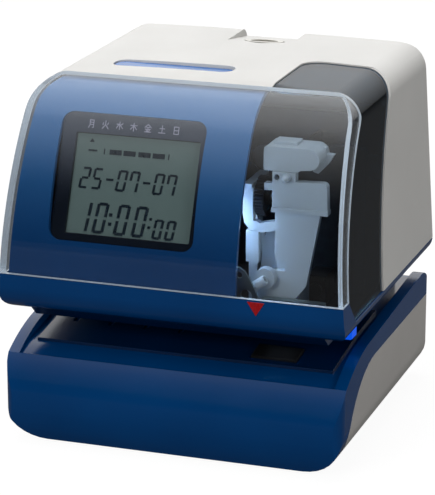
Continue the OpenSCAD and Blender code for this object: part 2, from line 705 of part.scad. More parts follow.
module card_trigger() {
  color(light) difference() {
    union() {
      translate([18, trig_c[0], trig_c[1]]) rotate([0, 90, 0]) cylinder(d = 6, h = 4);
      plate_at(18.4, 21.6, trig_c[0] - 1.2, trig_c[0] + 1.2, 50.6, trig_c[1]);
    }
    translate([10, trig_c[0], trig_c[1]]) rotate([0, 90, 0]) cylinder(d = 2.4 + 2 * run_clear, h = 20);
  }
}

base_front();
base_shell();
base_plate();
rubber_feet();
base_screws();
paper_table();
platen();
neck();
dc_jack();
head_tray();
throat_guide();
throat_lamp();
chassis();
chassis_walls();
front_panel();
lcd_bezel();
lcd_module();
lcd_segments();
main_board();
board_posts();
pointer_marker();
top_cover();
clear_cover();
side_window();
lock_ring();
lock_barrel();
lock_cam();
push_bar();
bar_carrier();
print_frame();
ribbon_cassette();
print_head();
gear_yoke();
gear_shaft();
ribbon_gear();
drive_gear();
ribbon_motor();
guide_post();
hole_bracket();
front_rail();
rear_board();
trigger_bracket();
trigger_pin();
card_trigger();
latch_pin();
chassis_screws();
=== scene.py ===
"""Date and time stamp machine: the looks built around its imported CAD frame.

Lengths in the classes are millimetres, as on the drawings; every mesh is made in metres in the row
frame, with X to the right, Y to the rear and Z up from the underside of the feet.
"""

import json
import logging
import math
from dataclasses import dataclass
from enum import Enum
from typing import Any, Callable, ClassVar, Iterable, Optional, Sequence, Union

import bmesh
import bpy
from mathutils import Matrix, Vector


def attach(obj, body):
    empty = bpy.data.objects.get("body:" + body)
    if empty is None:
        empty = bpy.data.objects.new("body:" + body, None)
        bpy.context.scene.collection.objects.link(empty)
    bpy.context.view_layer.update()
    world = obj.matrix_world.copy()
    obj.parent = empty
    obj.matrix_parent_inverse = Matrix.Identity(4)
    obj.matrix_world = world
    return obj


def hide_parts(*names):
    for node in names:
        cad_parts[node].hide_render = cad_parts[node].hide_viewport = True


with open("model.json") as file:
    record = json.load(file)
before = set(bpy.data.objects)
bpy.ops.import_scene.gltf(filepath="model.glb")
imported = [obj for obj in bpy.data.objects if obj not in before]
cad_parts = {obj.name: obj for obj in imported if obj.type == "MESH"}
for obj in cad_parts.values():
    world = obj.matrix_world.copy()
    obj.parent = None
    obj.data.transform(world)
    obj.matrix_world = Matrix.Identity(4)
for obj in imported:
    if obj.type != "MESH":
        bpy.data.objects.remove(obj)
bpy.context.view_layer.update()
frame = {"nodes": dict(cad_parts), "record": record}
LOG = logging.getLogger("stamp_machine")
MM = 0.001
SLOT_OF = {row["node"]: row["material_slot"] for row in frame["record"]["subparts"]}
BODY_OF = {
    node: body
    for body, nodes in frame["record"]["behaviour"]["bodies"].items()
    for node in nodes
}


# ---------------------------------------------------------------------------------------------
# Node and colour helpers
# ---------------------------------------------------------------------------------------------


def linear(hex_colour: str) -> tuple[float, float, float, float]:
    """Turn an sRGB hex colour into the linear values that shaders take.

    Args:
        hex_colour: colour as "#RRGGBB".

    Returns:
        Linear red, green, blue and an alpha of 1.
    """
    parts = [int(hex_colour[i : i + 2], 16) / 255 for i in (1, 3, 5)]
    curve = [c / 12.92 if c <= 0.04045 else ((c + 0.055) / 1.055) ** 2.4 for c in parts]
    return (curve[0], curve[1], curve[2], 1.0)


def add_node(
    tree: bpy.types.NodeTree,
    kind: str,
    settings: Optional[dict[str, Any]] = None,
    values: Optional[dict[Any, Any]] = None,
    links: Optional[dict[Any, bpy.types.NodeSocket]] = None,
) -> bpy.types.Node:
    """Add one node with its settings, its input values and the links into it.

    Args:
        tree: node tree that takes the node.
        kind: Blender's node type name.
        settings: properties of the node itself.
        values: default values of inputs, by name or number.
        links: output sockets that feed inputs, by name or number.

    Returns:
        The new node.
    """
    node = tree.nodes.new(kind)
    for key, value in (settings or {}).items():
        setattr(node, key, value)
    for key, value in (values or {}).items():
        node.inputs[key].default_value = value
    for key, socket in (links or {}).items():
        tree.links.new(socket, node.inputs[key])
    return node


def per_metre(pitch_mm: float) -> float:
    """Noise scale whose largest features are about pitch_mm wide."""
    return 1.0 / (pitch_mm * MM)


# ---------------------------------------------------------------------------------------------
# Finishes
# ---------------------------------------------------------------------------------------------


class Surface(Enum):
    """How the tool that moulded a plastic part was finished."""

    POLISHED = "polished"
    SATIN = "satin"
    SPARKED = "sparked"


@dataclass(frozen=True)
class Finish:
    """A finish: a titled material that is built once and shared by its pieces.

    Attributes:
        title: name of the material.
        colour: sRGB hex colour of its body.
        roughness: mean roughness of the skin.
    """

    title: str
    colour: str
    roughness: float = 0.4

    def material(self) -> bpy.types.Material:
        """Build the material, or fetch it if a piece already has it.

        Returns:
            The material.
        """
        found = bpy.data.materials.get(self.title)
        if found is not None:
            return found
        material = bpy.data.materials.new(self.title)
        material.use_nodes = True
        tree = material.node_tree
        tree.nodes.clear()
        place = add_node(tree, "ShaderNodeTexCoord").outputs["Object"]
        surface = self.shade(tree, place)
        add_node(tree, "ShaderNodeOutputMaterial", links={"Surface": surface})
        material.diffuse_color = linear(self.colour)
        return material

    def shade(self, tree: bpy.types.NodeTree, place: bpy.types.NodeSocket) -> bpy.types.NodeSocket:
        """Build the shader; each finish has its own.

        Args:
            tree: the material's node tree.
            place: object coordinates in metres.

        Returns:
            The surface shader's output socket.
        """
        raise NotImplementedError

    def drift(
        self,
        tree: bpy.types.NodeTree,
        place: bpy.types.NodeSocket,
        pitch_mm: float,
        low: float,
        high: float,
        detail: float = 2.0,
    ) -> bpy.types.NodeSocket:
        """A slow noise brought to a range of values.

        Args:
            tree: the material's node tree.
            place: coordinates to read.
            pitch_mm: size of the noise's features.
            low: value at the dark end.
            high: value at the light end.
            detail: octaves of the noise.

        Returns:
            Socket with the value.
        """
        noise = add_node(
            tree,
            "ShaderNodeTexNoise",
            values={"Scale": per_metre(pitch_mm), "Detail": detail},
            links={"Vector": place},
        )
        spread = add_node(
            tree,
            "ShaderNodeMapRange",
            values={"From Min": 0.3, "From Max": 0.7, "To Min": low, "To Max": high},
            links={"Value": noise.outputs["Fac"]},
        )
        return spread.outputs["Result"]

    def relief(
        self,
        tree: bpy.types.NodeTree,
        height: bpy.types.NodeSocket,
        strength: float,
        depth_mm: float,
    ) -> bpy.types.NodeSocket:
        """Turn a height into a surface normal.

        Args:
            tree: the material's node tree.
            height: socket with the height, 0 to 1.
            strength: share of the depth that shows.
            depth_mm: depth of the relief.

        Returns:
            Socket with the normal.
        """
        bump = add_node(
            tree,
            "ShaderNodeBump",
            values={"Strength": strength, "Distance": depth_mm * MM},
            links={"Height": height},
        )
        return bump.outputs["Normal"]

    def tinted(
        self,
        tree: bpy.types.NodeTree,
        amount: bpy.types.NodeSocket,
        colour: str,
        other: str,
    ) -> bpy.types.NodeSocket:
        """Mix two sRGB colours by a value socket and return the colour socket."""
        mix = add_node(tree, "ShaderNodeMix", settings={"data_type": "RGBA"}, links={0: amount})
        mix.inputs[6].default_value = linear(colour)
        mix.inputs[7].default_value = linear(other)
        return mix.outputs[2]


@dataclass(frozen=True)
class MouldedPlastic(Finish):
    """ABS or POM, injection moulded and coloured in the mass.

    A polished tool leaves a wet-looking skin with faint flow marks; a spark-eroded tool leaves an
    even, fine grain that softens highlights.

    Attributes:
        shaded: second sRGB colour that the flow marks drift to.
        surface: how the tool was finished.
        grain_mm: pitch of the tool's texture.
        grain_depth_mm: depth of that texture.
        glow: share of light that scatters inside a milky plastic.
        specular: specular level of the shader.
        flow_mm: pitch of the flow marks.
        patch_mm: pitch of the drift in the gloss.
    """

    shaded: str = "#808080"
    surface: Surface = Surface.POLISHED
    grain_mm: float = 0.6
    grain_depth_mm: float = 0.01
    glow: float = 0.0
    specular: float = 0.5
    flow_mm: float = 46.0
    patch_mm: float = 18.0

    def shade(self, tree: bpy.types.NodeTree, place: bpy.types.NodeSocket) -> bpy.types.NodeSocket:
        """Flow marks in the colour, drift in the gloss and the tool's texture as bump."""
        flow = self.drift(tree, place, self.flow_mm, 0.0, 1.0)
        colour = self.tinted(tree, flow, self.colour, self.shaded)
        spread = 0.02 if self.surface is Surface.POLISHED else 0.06
        low, high = self.roughness - spread, self.roughness + spread
        gloss = self.drift(tree, place, self.patch_mm, low, high, 4.0)
        # grain under 0.4 mm is finer than a pixel, so the coarser part of the texture is drawn
        grain = add_node(
            tree,
            "ShaderNodeTexNoise",
            values={"Scale": per_metre(self.grain_mm), "Detail": 3.0, "Roughness": 0.6},
            links={"Vector": place},
        )
        strength = {Surface.POLISHED: 0.04, Surface.SATIN: 0.18, Surface.SPARKED: 0.45}
        normal = self.relief(
            tree, grain.outputs["Fac"], strength[self.surface], self.grain_depth_mm
        )
        shader = add_node(
            tree,
            "ShaderNodeBsdfPrincipled",
            values={
                "IOR": 1.52,
                "Specular IOR Level": self.specular,
                "Subsurface Weight": self.glow,
                "Subsurface Radius": (0.002, 0.002, 0.0025),
                "Subsurface Scale": 1.0,
            },
            links={"Base Color": colour, "Roughness": gloss, "Normal": normal},
        )
        return shader.outputs["BSDF"]


@dataclass(frozen=True)
class ReflectionPaintedPlastic(MouldedPlastic):
    """Moulded plastic with a painted reflection: its colour fades from pale at its head to deep at
    its foot.

    Attributes:
        crest: sRGB colour of the painted reflection at the head.
        foot_mm: height where the fade starts.
        crest_mm: height where the fade ends.
    """

    crest: str = "#FFFFFF"
    foot_mm: float = 0.0
    crest_mm: float = 1.0

    def shade(self, tree: bpy.types.NodeTree, place: bpy.types.NodeSocket) -> bpy.types.NodeSocket:
        """The moulding's own shader, with the painted reflection laid over its colour as a fade by
        height.
        """
        surface = super().shade(tree, place)
        shader = surface.node
        below = shader.inputs["Base Color"].links[0].from_socket
        # painted reflection: the colour is lifted towards the crest colour with height, standing
        # for light mirrored from above
        split = add_node(tree, "ShaderNodeSeparateXYZ", links={"Vector": place})
        fade = add_node(
            tree,
            "ShaderNodeMapRange",
            settings={"interpolation_type": "SMOOTHSTEP"},
            values={"From Min": self.foot_mm * MM, "From Max": self.crest_mm * MM},
            links={"Value": split.outputs["Z"]},
        )
        mix = add_node(
            tree,
            "ShaderNodeMix",
            settings={"data_type": "RGBA"},
            links={0: fade.outputs["Result"], 6: below},
        )
        mix.inputs[7].default_value = linear(self.crest)
        tree.links.new(mix.outputs[2], shader.inputs["Base Color"])
        return surface


@dataclass(frozen=True)
class ClearMoulding(Finish):
    """Polycarbonate or acrylic, moulded in a mirror-polished tool and seen right through.

    The skin is nearly perfect, with a slow waviness of a few hundredths of a millimetre that bends
    reflections. Rays from lamps pass straight through, so that what is behind stays lit.

    Attributes:
        passed: sRGB colour of the light that lamps send through a wall.
        ior: refractive index.
        wave_mm: pitch of the waviness.
        wave_depth_mm: depth of the waviness.
        haze_mm: pitch of the drift in the gloss.
        tint: sRGB colour of what the skin mirrors.
    """

    passed: str = "#F2F6FA"
    ior: float = 1.49
    wave_mm: float = 24.0
    wave_depth_mm: float = 0.04
    haze_mm: float = 9.0
    tint: str = "#FFFFFF"

    def shade(self, tree: bpy.types.NodeTree, place: bpy.types.NodeSocket) -> bpy.types.NodeSocket:
        """Refracting shader with waviness, and a clear way for rays from lamps."""
        wave = add_node(
            tree,
            "ShaderNodeTexNoise",
            values={"Scale": per_metre(self.wave_mm), "Detail": 1.0},
            links={"Vector": place},
        )
        normal = self.relief(tree, wave.outputs["Fac"], 0.05, self.wave_depth_mm)
        low, high = self.roughness * 0.5, self.roughness * 1.5
        haze = self.drift(tree, place, self.haze_mm, low, high, 3.0)
        glass = add_node(
            tree,
            "ShaderNodeBsdfPrincipled",
            values={
                "Base Color": linear(self.colour),
                "IOR": self.ior,
                "Transmission Weight": 1.0,
                "Specular Tint": linear(self.tint),
            },
            links={"Roughness": haze, "Normal": normal},
        )
        through = add_node(
            tree, "ShaderNodeBsdfTransparent", values={"Color": linear(self.passed)}
        )
        rays = add_node(tree, "ShaderNodeLightPath")
        mix = add_node(
            tree,
            "ShaderNodeMixShader",
            links={0: rays.outputs["Is Shadow Ray"], 1: glass.outputs[0], 2: through.outputs[0]},
        )
        return mix.outputs["Shader"]


@dataclass(frozen=True)
class Elastomer(Finish):
    """Nitrile rubber, ground smooth: dull, dark, with a fine matt tooth and grey dust in it.

    Attributes:
        dusty: second sRGB colour where dust lies.
        dust_mm: pitch of the dust.
        tooth_mm: pitch of the ground tooth.
        tooth_depth_mm: depth of the ground tooth.
    """

    dusty: str = "#141517"
    dust_mm: float = 3.0
    tooth_mm: float = 0.5
    tooth_depth_mm: float = 0.03

    def shade(self, tree: bpy.types.NodeTree, place: bpy.types.NodeSocket) -> bpy.types.NodeSocket:
        """Dust in the colour and a ground tooth as bump."""
        dust = self.drift(tree, place, self.dust_mm, 0.0, 0.6, 5.0)
        colour = self.tinted(tree, dust, self.colour, self.dusty)
        tooth = add_node(
            tree,
            "ShaderNodeTexNoise",
            values={"Scale": per_metre(self.tooth_mm), "Detail": 4.0},
            links={"Vector": place},
        )
        normal = self.relief(tree, tooth.outputs["Fac"], 0.4, self.tooth_depth_mm)
        shader = add_node(
            tree,
            "ShaderNodeBsdfPrincipled",
            values={"Roughness": self.roughness, "IOR": 1.45},
            links={"Base Color": colour, "Normal": normal},
        )
        return shader.outputs["BSDF"]


@dataclass(frozen=True)
class RolledMetal(Finish):
    """Zinc-plated or brushed sheet: rolled, so its fine lines run one way, with a cloudy plating.

    Attributes:
        along: stretch of the rolling lines on X, Y and Z; a small number runs along that axis.
        line_mm: spacing of the lines.
        line_depth_mm: depth of the lines.
        cloudy: second sRGB colour of the plating.
        cloud_mm: pitch of the clouds.
    """

    along: tuple[float, float, float] = (1.0, 0.05, 1.0)
    line_mm: float = 0.5
    line_depth_mm: float = 0.01
    cloudy: str = "#8E9196"
    cloud_mm: float = 11.0

    def shade(self, tree: bpy.types.NodeTree, place: bpy.types.NodeSocket) -> bpy.types.NodeSocket:
        """Cloudy plating, and rolling lines in the gloss and the bump."""
        cloud = self.drift(tree, place, self.cloud_mm, 0.0, 1.0, 4.0)
        colour = self.tinted(tree, cloud, self.colour, self.cloudy)
        stretch = add_node(
            tree, "ShaderNodeMapping", values={"Scale": self.along}, links={"Vector": place}
        )
        lines = add_node(
            tree,
            "ShaderNodeTexNoise",
            values={"Scale": per_metre(self.line_mm), "Detail": 2.0},
            links={"Vector": stretch.outputs["Vector"]},
        )
        gloss = add_node(
            tree,
            "ShaderNodeMapRange",
            values={"To Min": self.roughness - 0.08, "To Max": self.roughness + 0.08},
            links={"Value": lines.outputs["Fac"]},
        )
        normal = self.relief(tree, lines.outputs["Fac"], 0.25, self.line_depth_mm)
        shader = add_node(
            tree,
            "ShaderNodeBsdfPrincipled",
            values={"Metallic": 1.0},
            links={
                "Base Color": colour,
                "Roughness": gloss.outputs["Result"],
                "Normal": normal,
            },
        )
        return shader.outputs["BSDF"]


@dataclass(frozen=True)
class TurnedMetal(Finish):
    """Nickel-plated brass, faced on a lathe: fine rings round the lock's axis catch the light.

    Attributes:
        centre: point on the axis, millimetres.
        tilt: lean of the axis about X, degrees.
        ring_mm: spacing of the turned rings.
        ring_depth_mm: depth of the turned rings.
        rub_mm: pitch of the rubbed patches.
    """

    centre: tuple[float, float, float] = (0.0, 0.0, 0.0)
    tilt: float = 0.0
    ring_mm: float = 0.45
    ring_depth_mm: float = 0.02
    rub_mm: float = 4.0

    def shade(self, tree: bpy.types.NodeTree, place: bpy.types.NodeSocket) -> bpy.types.NodeSocket:
        """Turned rings in the bump and rubbed patches in the gloss."""
        turn = add_node(
            tree,
            "ShaderNodeMapping",
            settings={"vector_type": "TEXTURE"},
            values={
                "Location": Vector(self.centre) * MM,
                "Rotation": (math.radians(self.tilt), 0.0, 0.0),
            },
            links={"Vector": place},
        )
        rings = add_node(
            tree,
            "ShaderNodeTexWave",
            settings={"wave_type": "RINGS", "rings_direction": "Z"},
            values={"Scale": per_metre(self.ring_mm) / (2 * math.pi) * 0.3, "Distortion": 0.4},
            links={"Vector": turn.outputs["Vector"]},
        )
        normal = self.relief(tree, rings.outputs["Fac"], 0.3, self.ring_depth_mm)
        low, high = self.roughness - 0.07, self.roughness + 0.07
        worn = self.drift(tree, place, self.rub_mm, low, high, 3.0)
        shader = add_node(
            tree,
            "ShaderNodeBsdfPrincipled",
            values={"Base Color": linear(self.colour), "Metallic": 1.0},
            links={"Roughness": worn, "Normal": normal},
        )
        return shader.outputs["BSDF"]


@dataclass(frozen=True)
class DisplayCell(Finish):
    """Liquid-crystal cell: a grey-green reflector behind glass, seen through a polariser.

    Attributes:
        lower: sRGB colour of the painted shade that the reflector falls to at its foot.
        foot_mm: height of the cell's foot.
        head_mm: height of the cell's head.
        grain_mm: pitch of the reflector's silver grain.
        grain_depth_mm: depth of that grain.
    """

    lower: str = "#4A5A52"
    foot_mm: float = 94.0
    head_mm: float = 133.0
    grain_mm: float = 0.4
    grain_depth_mm: float = 0.02

    def shade(self, tree: bpy.types.NodeTree, place: bpy.types.NodeSocket) -> bpy.types.NodeSocket:
        """A reflector darkened by painted shade towards its foot, its fine silver grain and a glass
        coat.
        """
        split = add_node(tree, "ShaderNodeSeparateXYZ", links={"Vector": place})
        # painted shade: the reflector's colour falls to the lower colour towards the cell's foot
        fall = add_node(
            tree,
            "ShaderNodeMapRange",
            values={"From Min": self.foot_mm * MM, "From Max": self.head_mm * MM},
            links={"Value": split.outputs["Z"]},
        )
        colour = self.tinted(tree, fall.outputs["Result"], self.lower, self.colour)
        grain = add_node(
            tree,
            "ShaderNodeTexNoise",
            values={"Scale": per_metre(self.grain_mm), "Detail": 2.0},
            links={"Vector": place},
        )
        normal = self.relief(tree, grain.outputs["Fac"], 0.12, self.grain_depth_mm)
        shader = add_node(
            tree,
            "ShaderNodeBsdfPrincipled",
            values={
                "Roughness": self.roughness,
                "Coat Weight": 0.5,
                "Coat Roughness": 0.08,
                "IOR": 1.5,
            },
            links={"Base Color": colour, "Normal": normal},
        )
        return shader.outputs["BSDF"]


@dataclass(frozen=True)
class Print(Finish):
    """Screen or pad printed ink: a thin, slightly uneven film that stays a touch glossy.

    Attributes:
        thin: second sRGB colour where the film is thin.
        film_mm: pitch of the thin places.
        gloss_mm: pitch of the drift in the gloss.
    """

    thin: str = "#202020"
    film_mm: float = 1.6
    gloss_mm: float = 2.4

    def shade(self, tree: bpy.types.NodeTree, place: bpy.types.NodeSocket) -> bpy.types.NodeSocket:
        """Uneven film in the colour and the gloss."""
        film = self.drift(tree, place, self.film_mm, 0.0, 1.0, 3.0)
        colour = self.tinted(tree, film, self.colour, self.thin)
        low, high = self.roughness - 0.05, self.roughness + 0.05
        gloss = self.drift(tree, place, self.gloss_mm, low, high)
        shader = add_node(
            tree,
            "ShaderNodeBsdfPrincipled",
            values={"IOR": 1.5},
            links={"Base Color": colour, "Roughness": gloss},
        )
        return shader.outputs["BSDF"]


@dataclass(frozen=True)
class Laminate(Finish):
    """Glass-fibre circuit board under dark solder mask, with its woven cloth just showing.

    Attributes:
        copper: sRGB colour of the mask over a track.
        track_mm: pitch of the tracks.
        weave_mm: thread spacing of the glass cloth.
        weave_depth_mm: depth of the weave.
    """

    copper: str = "#1C2A33"
    track_mm: float = 5.0
    weave_mm: float = 0.9
    weave_depth_mm: float = 0.02

    def shade(self, tree: bpy.types.NodeTree, place: bpy.types.NodeSocket) -> bpy.types.NodeSocket:
        """Tracks under the mask as colour blocks and the cloth's weave as bump."""
        tracks = add_node(
            tree,
            "ShaderNodeTexVoronoi",
            settings={"distance": "CHEBYCHEV"},
            values={"Scale": per_metre(self.track_mm)},
            links={"Vector": place},
        )
        step = add_node(
            tree,
            "ShaderNodeMapRange",
            values={"From Min": 0.30, "From Max": 0.36},
            links={"Value": tracks.outputs["Distance"]},
        )
        colour = self.tinted(tree, step.outputs["Result"], self.colour, self.copper)
        weave = add_node(
            tree,
            "ShaderNodeTexWave",
            values={"Scale": per_metre(self.weave_mm) / (2 * math.pi), "Distortion": 0.2},
            links={"Vector": place},
        )
        normal = self.relief(tree, weave.outputs["Fac"], 0.1, self.weave_depth_mm)
        shader = add_node(
            tree,
            "ShaderNodeBsdfPrincipled",
            values={"Roughness": self.roughness, "IOR": 1.5},
            links={"Base Color": colour, "Normal": normal},
        )
        return shader.outputs["BSDF"]


@dataclass(frozen=True)
class LampLens(Finish):
    """Diffusing lamp lens: milky epoxy that glows evenly.

    Attributes:
        glow: sRGB colour of its light.
        strength: how bright it is.
        tone_mm: pitch of the drift in the milky body.
    """

    glow: str = "#FFFFFF"
    strength: float = 4.0
    tone_mm: float = 4.0

    def shade(self, tree: bpy.types.NodeTree, place: bpy.types.NodeSocket) -> bpy.types.NodeSocket:
        """A milky body with its own light."""
        tone = self.drift(tree, place, self.tone_mm, 0.0, 0.4)
        colour = self.tinted(tree, tone, self.colour, self.glow)
        shader = add_node(
            tree,
            "ShaderNodeBsdfPrincipled",
            values={
                "Roughness": self.roughness,
                "Emission Color": linear(self.glow),
                "Emission Strength": self.strength,
            },
            links={"Base Color": colour},
        )
        return shader.outputs["BSDF"]


LOCK_CENTRE = (2.0, 50.5, 155.68)
LOCK_RAMP = 8.0

GLOSS_BLUE = MouldedPlastic(
    "gloss blue ABS", "#00417C", 0.16, shaded="#003C74", specular=0.25
)
# the fade to a paler blue at the panel's head is a painted reflection
PANEL_BLUE = ReflectionPaintedPlastic(
    "metallic blue ABS",
    "#004074",
    0.3,
    shaded="#003C6E",
    specular=0.28,
    crest="#3E7AB0",
    foot_mm=84.0,
    crest_mm=158.0,
)
# the push bar's lighter blue is partly its own colour and partly painted sheen, lifted for light it
# catches in the shaded slot
SHEEN_BAR_BLUE = MouldedPlastic("blue ABS with painted sheen", "#2A74C4", 0.2, shaded="#2468B4", specular=0.4)
# a pale opaque strip laid on the clear cover's rim as a painted highlight
RIM_HIGHLIGHT = MouldedPlastic("painted rim highlight", "#D6E0E8", 0.2, shaded="#CBD6E0")
DEEP_BLUE = MouldedPlastic("deep blue ABS", "#001F45", 0.22, shaded="#001B3C", specular=0.3)
WARM_GREY = MouldedPlastic(
    "warm grey ABS", "#C9C6C2", 0.42, shaded="#C4C1BD", surface=Surface.SPARKED
)
PALE_GREY = MouldedPlastic(
    "pale grey ABS", "#DEDDDA", 0.45, shaded="#DAD9D6", surface=Surface.SPARKED, specular=0.25
)
MILK_WHITE = MouldedPlastic(
    "milk white POM", "#B0BCC4", 0.38, shaded="#A6B2BA", surface=Surface.SATIN, glow=0.25
)
BLACK_ABS = MouldedPlastic(
    "black ABS", "#14161A", 0.34, shaded="#101216", surface=Surface.SATIN
)
# the grey fade at the head of the dark window is a painted reflection
BEZEL_GLASS = ReflectionPaintedPlastic(
    "dark display window",
    "#0C131D",
    0.14,
    shaded="#0E1520",
    specular=0.3,
    crest="#4C525E",
    foot_mm=104.0,
    crest_mm=142.0,
)
# the walls are thin, so the index is set below polycarbonate's 1.58 to match the real reflections
CLEAR = ClearMoulding("clear polycarbonate", "#F4F8FC", 0.02, ior=1.42)
SMOKED = ClearMoulding(
    "smoked polycarbonate", "#2C5470", 0.03, passed="#2C5470", ior=1.19, tint="#9CC4E4"
)
PASSIVATED = RolledMetal("black-passivated steel", "#22344A", 0.5, cloudy="#1C2C40")
RUBBER = Elastomer("nitrile rubber", "#0C0D0F", 0.75)
PLATED = RolledMetal("zinc-plated steel", "#A9ADB3", 0.34)
BRACKET = RolledMetal("grey bracket steel", "#8A9896", 0.42, cloudy="#7D8B8A")
LOCK_METAL = TurnedMetal(
    "nickel-plated brass", "#D8D6D0", 0.36, centre=LOCK_CENTRE, tilt=-LOCK_RAMP
)
# the cell falls to a darker colour at its foot: painted shade
CELL = DisplayCell("liquid-crystal cell", "#70807A", 0.35, lower="#667670")
FIGURE_INK = Print("liquid-crystal figure", "#111D26", 0.3, thin="#14222C")
SIGN_INK = Print("pale screen print", "#B9B4C4", 0.45, thin="#A8A4B4")
RED_INK = Print("red pad print", "#B01018", 0.3, thin="#9A0E14")
BOARD = Laminate("masked circuit board", "#14202C", 0.4)
BLUE_LAMP = LampLens("blue throat lamp", "#0A3C96", 0.35, glow="#0048C8", strength=1.1)
WHITE_LAMP = LampLens("white work lamp", "#F2F6FF", 0.4, glow="#CCE4FF", strength=70.0)

FINISH_OF_SLOT: dict[str, Finish] = {
    "blue_plastic": GLOSS_BLUE,
    "deep_blue_plastic": DEEP_BLUE,
    "grey_plastic": WARM_GREY,
    "light_plastic": PALE_GREY,
    "clear_plastic": CLEAR,
    "smoke_plastic": SMOKED,
    "rubber": RUBBER,
    "plated_steel": PLATED,
    "black_plastic": BLACK_ABS,
    "bezel_plastic": BEZEL_GLASS,
    "display_glass": CELL,
    "display_ink": FIGURE_INK,
    "circuit_board": BOARD,
    "red_paint": RED_INK,
    "lamp_lens": BLUE_LAMP,
    "white_plastic": MILK_WHITE,
    "bracket_metal": BRACKET,
    "lock_metal": LOCK_METAL,
}


# ---------------------------------------------------------------------------------------------
# Shaping
# ---------------------------------------------------------------------------------------------

EdgeTest = Callable[[bmesh.types.BMEdge], bool]
SHARP_DEG = 30.0


def solid_of(node: str) -> bmesh.types.BMesh:
    """Copy a CAD node's mesh, join its loose triangles and clear the lines inside flat faces.

    Args:
        node: name of the CAD node.

    Returns:
        A closed bmesh with one face to each flat side.
    """
    bm = bmesh.new()
    bm.from_mesh(frame["nodes"][node].data)
    bmesh.ops.remove_doubles(bm, verts=bm.verts, dist=1e-6)
    bmesh.ops.dissolve_limit(
        bm, angle_limit=math.radians(0.25), verts=bm.verts, edges=bm.edges, delimit=set()
    )
    return bm


def is_sharp(edge: bmesh.types.BMEdge, degrees: float) -> bool:
    """True where two faces meet at more than this angle."""
    return len(edge.link_faces) == 2 and edge.calc_face_angle(0.0) > math.radians(degrees)


def ease(bm: bmesh.types.BMesh, radius_mm: float, steps: int, test: EdgeTest) -> None:
    """Round the edges that pass a test.

    Args:
        bm: mesh to change.
        radius_mm: how far the rounding reaches from each edge.
        steps: segments across the rounding.
        test: which edges are rounded.
    """
    edges = [edge for edge in bm.edges if test(edge)]
    if edges:
        bmesh.ops.bevel(
            bm,
            geom=edges,
            offset=radius_mm * MM,
            offset_type="OFFSET",
            segments=steps,
            profile=0.5,
            affect="EDGES",
            clamp_overlap=True,
            material=-1,
        )


def block(
    bm: bmesh.types.BMesh, low: Sequence[float], high: Sequence[float], turn: Matrix = Matrix()
) -> None:
    """Add a box between two corners, in millimetres, then turned by a matrix in metres.

    Args:
        bm: mesh that takes the box.
        low: lowest corner.
        high: highest corner.
        turn: transform applied after the box is sized and placed.
    """
    a, b = Vector(low) * MM, Vector(high) * MM
    size = Matrix.Diagonal((b.x - a.x, b.y - a.y, b.z - a.z, 1.0))
    bmesh.ops.create_cube(bm, size=1.0, matrix=turn @ Matrix.Translation((a + b) / 2) @ size)


def present(
    bm: bmesh.types.BMesh,
    name: str,
    finish: Finish,
    body: str,
    nodes: Iterable[str] = (),
    sharp_deg: float = 32.0,
    even: bool = True,
) -> bpy.types.Object:
    """Turn a bmesh into a finished piece that rides on its body.

    Args:
        bm: the mesh, which is freed.
        name: the piece's name.
        finish: its finish.
        body: CAD body that it rides on.
        nodes: CAD nodes that it stands for.
        sharp_deg: edges sharper than this stay crisp in the shading.
        even: weigh the normals by face area, so that flats stay flat beside roundings.

    Returns:
        The new object.
    """
    mesh = bpy.data.meshes.new(name)
    bm.to_mesh(mesh)
    bm.free()
    mesh.shade_smooth()
    mesh.set_sharp_from_angle(angle=math.radians(sharp_deg))
    mesh.materials.append(finish.material())
    piece = bpy.data.objects.new(name, mesh)
    bpy.context.scene.collection.objects.link(piece)
    if even:
        weigh = piece.modifiers.new("facing", "WEIGHTED_NORMAL")
        weigh.keep_sharp = True
    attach(piece, body)
    if nodes:
        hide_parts(*nodes)
    return piece


@dataclass(frozen=True)
class Casting:
    """A CAD solid shown as a finished piece with its sharp edges eased.

    Attributes:
        node: CAD node that is copied and stood for.
        ease_mm: radius of the eased edges.
        steps: segments across each rounding.
        from_deg: edges sharper than this are eased.
        finish: finish, where it isn't the slot's own.
    """

    node: str
    ease_mm: float = 0.3
    steps: int = 2
    from_deg: float = SHARP_DEG
    finish: Optional[Finish] = None

    def build(
        self, shape: Optional[Callable[[bmesh.types.BMesh], None]] = None
    ) -> bpy.types.Object:
        """Make the piece.

        Args:
            shape: extra shaping, done before the small edges are eased.

        Returns:
            The piece.
        """
        bm = solid_of(self.node)
        if shape is not None:
            shape(bm)
        ease(bm, self.ease_mm, self.steps, lambda edge: is_sharp(edge, self.from_deg))
        slot = SLOT_OF[self.node]
        finish = self.finish or FINISH_OF_SLOT[slot]
        name = self.node + "_moulding"
        return present(bm, name, finish, BODY_OF[self.node], [self.node])


def dress(node: str, finish: Optional[Finish] = None) -> bpy.types.Object:
    """Give a CAD node its material and leave its shape as it is."""
    piece = frame["nodes"][node]
    material = (finish or FINISH_OF_SLOT[SLOT_OF[node]]).material()
    for slot in piece.material_slots:
        slot.material = material
    return piece


# ---------------------------------------------------------------------------------------------
# Sub-assemblies
# ---------------------------------------------------------------------------------------------


class SubAssembly:
    """What the sub-assemblies share: a list of pieces and a report of it."""

    title = "sub-assembly"

    def build(self) -> list[bpy.types.Object]:
        """Make the pieces; each sub-assembly has its own."""
        raise NotImplementedError

    def report(self) -> None:
        """Build the pieces."""
        for piece in self.build():
            faces = len(piece.data.polygons) if piece.type == "MESH" else 0
            LOG.info("%s: %s, %d faces", self.title, piece.name, faces)


